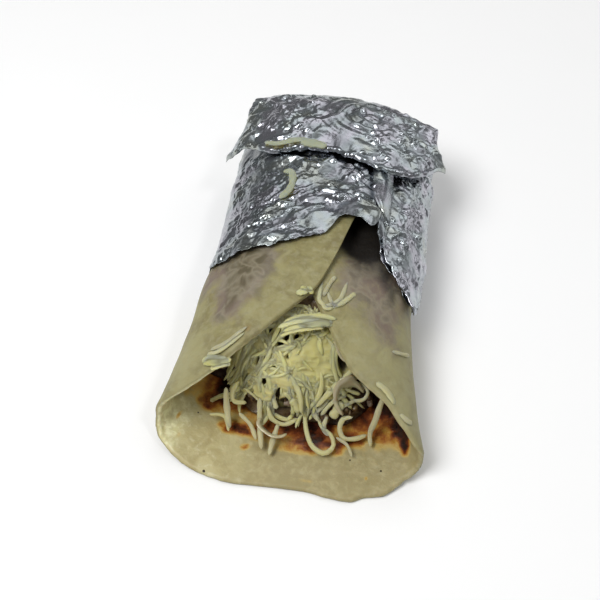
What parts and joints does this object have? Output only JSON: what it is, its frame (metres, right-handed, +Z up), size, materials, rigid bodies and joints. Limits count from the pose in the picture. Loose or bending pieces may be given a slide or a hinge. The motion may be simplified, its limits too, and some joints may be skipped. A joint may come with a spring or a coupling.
{
  "type": "frankie roll",
  "caption": "Thin flatbread folded round a spiced vegetable filling with grated cheese, open at the front, its rear half wrapped in foil.",
  "frame": {"origin": "on the surface the roll lies on, under the middle of its box", "axes": "+Y along the roll from the open mouth to the foil's fold, +X to the right of someone who looks into the mouth, +Z up"},
  "size_m": [0.0838, 0.147, 0.0422],
  "materials": {
    "flatbread": "soft, a little oily",
    "filling": "moist",
    "cheese": "soft",
    "onion": "moist",
    "foil": "crumpled and shiny"
  },
  "bodies": {
    "root": {"flatbread": "flatbread", "filling": "filling", "cheese_shreds": "cheese", "onion_slice_1": "onion", "onion_slice_2": "onion", "onion_slice_3": "onion", "foil_wrap": "foil"}
  },
  "joints": []
}
